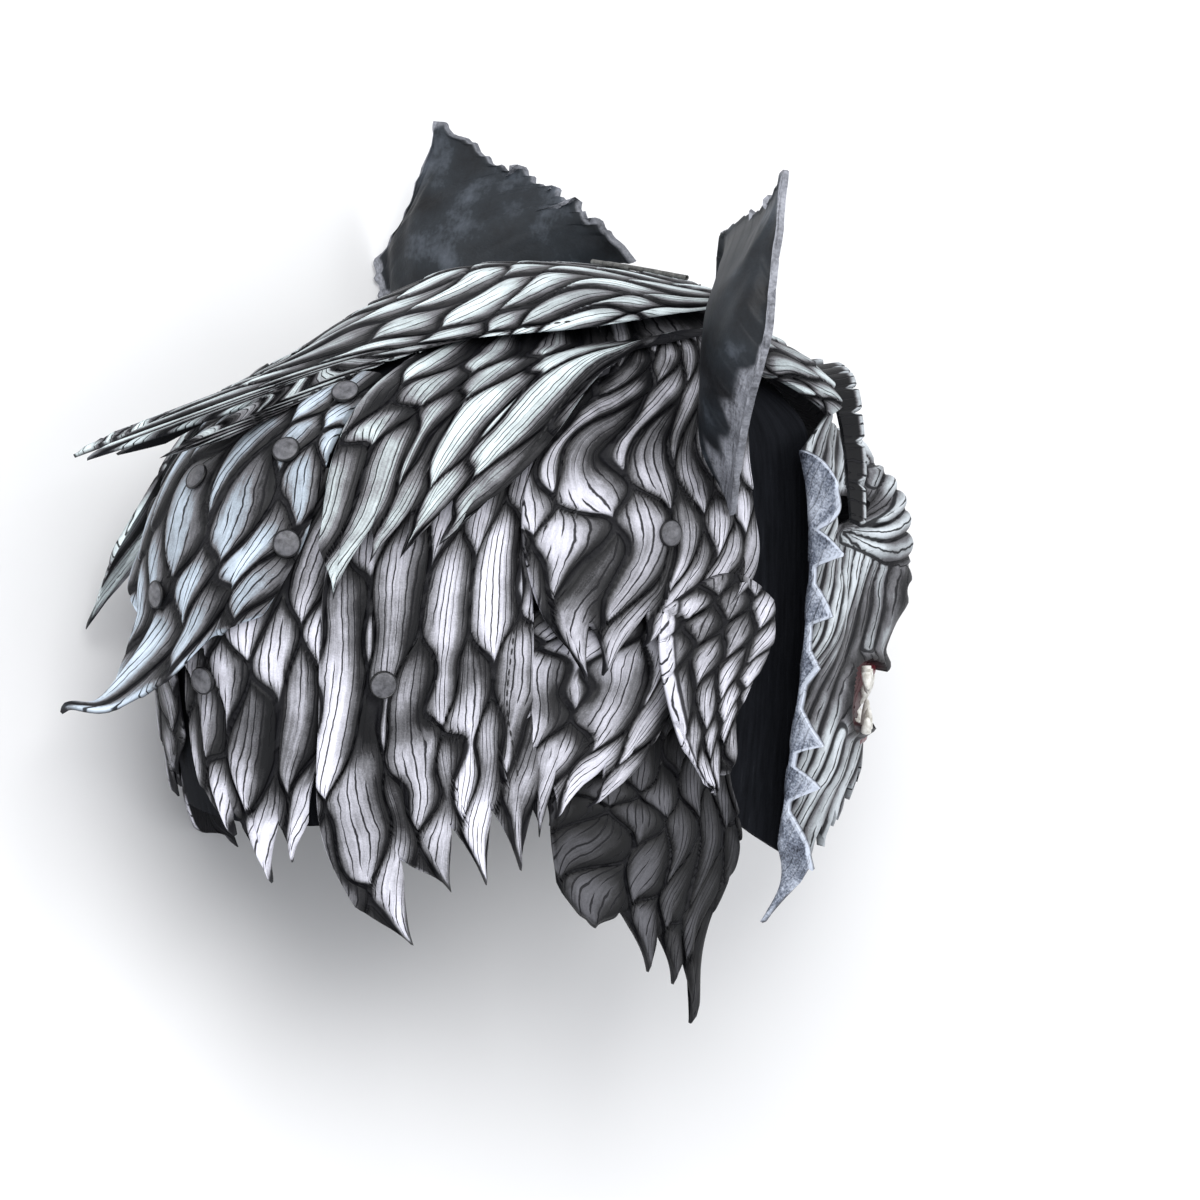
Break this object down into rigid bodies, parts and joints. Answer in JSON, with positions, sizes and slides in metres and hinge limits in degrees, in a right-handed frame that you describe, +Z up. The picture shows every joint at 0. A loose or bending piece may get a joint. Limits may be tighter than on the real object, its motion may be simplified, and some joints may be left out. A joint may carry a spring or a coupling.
{
  "type": "leather werewolf mask",
  "caption": "Full-head werewolf mask of carved, layered leather: wolf face, torn ears, a hackled mane of pointed locks over a dark hood, and an open neck.",
  "frame": {"origin": "on the ground, below the middle of the box around the mask as it lies on its left side", "axes": "+Z up from the ground, which is towards the wearer's right side; +X towards the face; +Y towards the crown of the head"},
  "size_m": [0.5016, 0.47, 0.3304],
  "materials": {
    "hood_leather": "dark matt suede",
    "face_leather": "moulded leather, grey dye rubbed back over dark creases",
    "crown_leather": "carved locks, pale grey highlights over black grooves",
    "mane_leather": "carved locks, blue-grey highlights over black grooves",
    "dark_mane_leather": "carved locks, dark grey with rubbed edges",
    "ear_leather": "smooth dark leather with a pale rolled edge",
    "rivet_metal": "dark patinated cap",
    "lace": "thin waxed lace",
    "tooth_resin": "aged ivory-coloured resin"
  },
  "bodies": {
    "root": {"hood": "hood_leather", "face_mask": "face_leather", "forehead_panel": "crown_leather", "upper_teeth": "tooth_resin", "lower_teeth": "tooth_resin", "crown_panel": "crown_leather", "crown_lacing": "lace", "back_panel": "mane_leather", "ear_right": "ear_leather", "brow_crest_right": "dark_mane_leather", "jaw_mane_right": "dark_mane_leather", "back_lock_right": "mane_leather", "side_mane_right": "mane_leather", "neck_side_right": "mane_leather", "temple_right": "mane_leather", "upper_mane_right": "mane_leather", "cheek_flap_right": "mane_leather", "ear_left": "ear_leather", "brow_crest_left": "dark_mane_leather", "jaw_mane_left": "dark_mane_leather", "back_lock_left": "mane_leather", "side_mane_left": "mane_leather", "neck_side_left": "mane_leather", "temple_left": "mane_leather", "upper_mane_left": "mane_leather", "cheek_flap_left": "mane_leather", "rivet_back_top_right": "rivet_metal", "rivet_back_top_left": "rivet_metal", "rivet_back_upper_right": "rivet_metal", "rivet_back_upper_left": "rivet_metal", "rivet_back_middle": "rivet_metal", "rivet_back_right": "rivet_metal", "rivet_back_left": "rivet_metal", "rivet_back_low_right": "rivet_metal", "rivet_back_low": "rivet_metal", "rivet_side_right": "rivet_metal", "rivet_side_left": "rivet_metal", "rivet_temple_right": "rivet_metal", "rivet_temple_left": "rivet_metal"}
  },
  "joints": []
}
